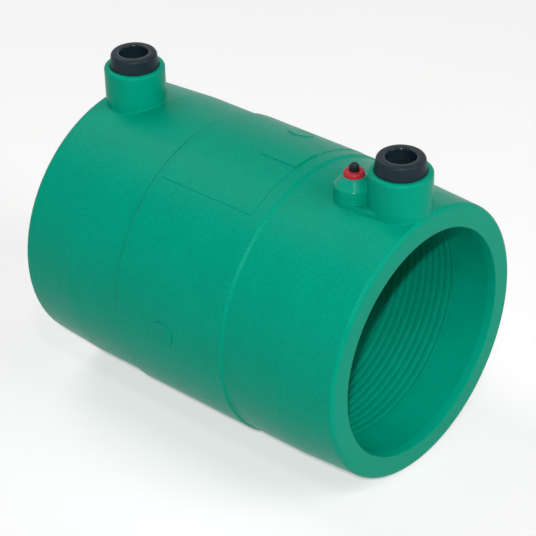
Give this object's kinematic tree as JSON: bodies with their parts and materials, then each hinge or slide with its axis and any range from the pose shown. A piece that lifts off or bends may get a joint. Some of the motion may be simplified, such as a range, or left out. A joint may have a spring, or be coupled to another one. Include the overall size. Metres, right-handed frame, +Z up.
{
  "type": "electrofusion coupler",
  "caption": "Electrofusion pipe coupler with wire-wound sockets, two shrouded terminals and a fusion indicator.",
  "frame": {"origin": "on the pipe axis, at the middle of the pipe stop, halfway between the two mouths", "axes": "+X along the pipe axis towards the indicator end, +Z up along the terminals"},
  "size_m": [0.1306, 0.0961, 0.1117],
  "materials": {
    "sleeve_plastic": "fine spark-eroded grain, smooth at the shrouds and boss",
    "wire_coating": "smooth extruded coating",
    "terminal_plastic": "satin",
    "contact_brass": "turned",
    "indicator_red": "satin",
    "indicator_black": "satin"
  },
  "bodies": {
    "coupler": {"sleeve_body": "sleeve_plastic", "heating_wire": "wire_coating", "terminal_insert_left": "terminal_plastic", "terminal_insert_right": "terminal_plastic", "contact_pin_left": "contact_brass", "contact_pin_right": "contact_brass", "indicator_collar": "indicator_red"},
    "indicator": {"indicator_pin": "indicator_black"}
  },
  "joints": [
    {"name": "indicator_rise", "type": "slide", "parent": "coupler", "child": "indicator", "axis": [0, 0, 1], "range_m": [0, 0.003]}
  ]
}
